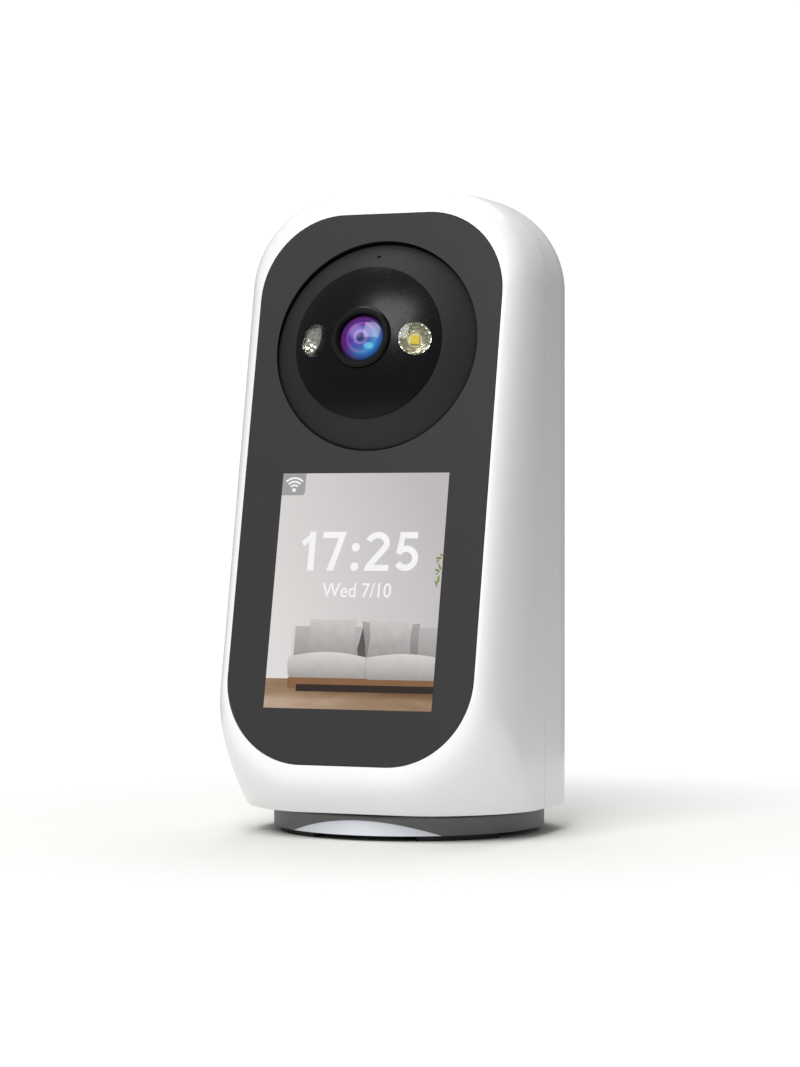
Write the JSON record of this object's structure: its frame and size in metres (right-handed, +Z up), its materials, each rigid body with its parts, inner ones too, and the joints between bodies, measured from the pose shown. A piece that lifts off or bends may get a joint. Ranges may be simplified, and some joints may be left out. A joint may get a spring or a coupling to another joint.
{
  "type": "smart home hub",
  "caption": "Upright smart home hub: white tower with a leaning dark front panel, small screen, tilting camera eye and a round swivel base.",
  "frame": {"origin": "centre of the swivel axis on the ground, under the rubber feet", "axes": "+Z up along the swivel axis, -Y towards the front, X across the plane of symmetry"},
  "size_m": [0.0754, 0.0818, 0.157],
  "materials": {
    "white_housing": "satin",
    "panel_charcoal": "satin",
    "screen_glass": "gloss",
    "display": "gloss",
    "eye_matt": "matt",
    "eye_gloss": "gloss",
    "lens_black": "satin",
    "optical_glass": "polished",
    "coated_glass": "polished, coated",
    "clear_lens": "clear",
    "reflector": "mirror",
    "led_yellow": "matt",
    "inner_plastic": "moulded",
    "pale_plastic": "moulded",
    "acetal": "moulded",
    "base_grey": "fine texture",
    "inlay_pale": "satin",
    "black_rubber": "matt",
    "steel": "satin",
    "zinc_screw": "plated",
    "motor_can": "zinc plated",
    "brass_gear": "machined",
    "circuit_board": "solder mask",
    "shield_can": "satin",
    "foil": "bright",
    "silicon": "gloss",
    "paper_cone": "pressed paper",
    "ferrite": "sintered",
    "tape": "foam",
    "ribbon": "polyimide film"
  },
  "bodies": {
    "base": {"base_housing": "base_grey", "base_inlay": "inlay_pale", "base_plate": "base_grey", "base_screws": "zinc_screw", "rubber_feet": "black_rubber", "pan_gear": "acetal", "hub_cap": "inner_plastic", "hub_screws": "zinc_screw", "pan_washer": "acetal"},
    "tower": {"front_shell": "white_housing", "rear_cover": "white_housing", "floor_plate": "inner_plastic", "floor_screws": "zinc_screw", "tower_screws": "zinc_screw", "front_panel": "panel_charcoal", "panel_tape": "tape", "screen_window": "screen_glass", "screen_cell": "display", "screen_backlight": "pale_plastic", "screen_tray": "steel", "screen_ribbon": "ribbon", "eye_yoke": "inner_plastic", "tilt_pivot_pins": "steel", "tilt_bracket": "steel", "bracket_screws": "zinc_screw", "tilt_motor": "motor_can", "pan_motor": "motor_can", "main_board": "circuit_board", "main_board_parts": "shield_can", "board_sockets": "pale_plastic", "port_board": "circuit_board", "usb_c_socket": "steel", "card_socket": "steel", "reset_switch": "inner_plastic", "speaker_basket": "steel", "speaker_cone": "paper_cone", "speaker_magnet": "ferrite"},
    "eye": {"eye_shell": "eye_matt", "eye_dome": "eye_gloss", "eye_carrier": "inner_plastic", "eye_screws": "zinc_screw", "camera_board": "circuit_board", "image_sensor": "silicon", "lens_holder": "lens_black", "lens_barrel": "lens_black", "lens_inner_glasses": "optical_glass", "lens_front_glass": "coated_glass", "lens_ring": "lens_black", "lamp_boards": "circuit_board", "lamp_leds": "led_yellow", "lamp_reflectors": "reflector", "lamp_lenses": "clear_lens", "microphone": "foil", "microphone_boot": "black_rubber", "tilt_sector": "acetal"},
    "tilt_rotor": {"tilt_shaft": "steel", "tilt_pinion": "brass_gear"},
    "pan_rotor": {"pan_shaft": "steel", "pan_pinion": "brass_gear"},
    "reset_button_body": {"reset_button": "inner_plastic"}
  },
  "joints": [
    {"name": "pan", "type": "hinge", "parent": "base", "child": "tower", "pos_m": [0, 0, 0.008], "axis": [0, 0, 1], "range_deg": [-177.5, 177.5]},
    {"name": "tilt", "type": "hinge", "parent": "tower", "child": "eye", "pos_m": [0, 0.00285, 0.11339], "axis": [1, 0, 0], "range_deg": [-20, 20]},
    {"name": "tilt_pinion_spin", "type": "hinge", "parent": "tower", "child": "tilt_rotor", "pos_m": [0.028, 0.01185, 0.09781], "axis": [1, 0, 0], "range_deg": [-73.5, 73.5]},
    {"name": "pan_pinion_spin", "type": "hinge", "parent": "tower", "child": "pan_rotor", "pos_m": [0, -0.0196, 0.012], "axis": [0, 0, 1], "range_deg": [-655, 655]},
    {"name": "reset_press", "type": "slide", "parent": "tower", "child": "reset_button_body", "axis": [0, -1, 0], "range_m": [0, 0.0006], "stiffness_N_per_m": 400, "springref_m": -0.0004}
  ],
  "couplings": [
    {"joint": "tilt_pinion_spin", "follows": "tilt", "ratio": -3.6154},
    {"joint": "pan_pinion_spin", "follows": "pan", "ratio": 3.6667}
  ]
}
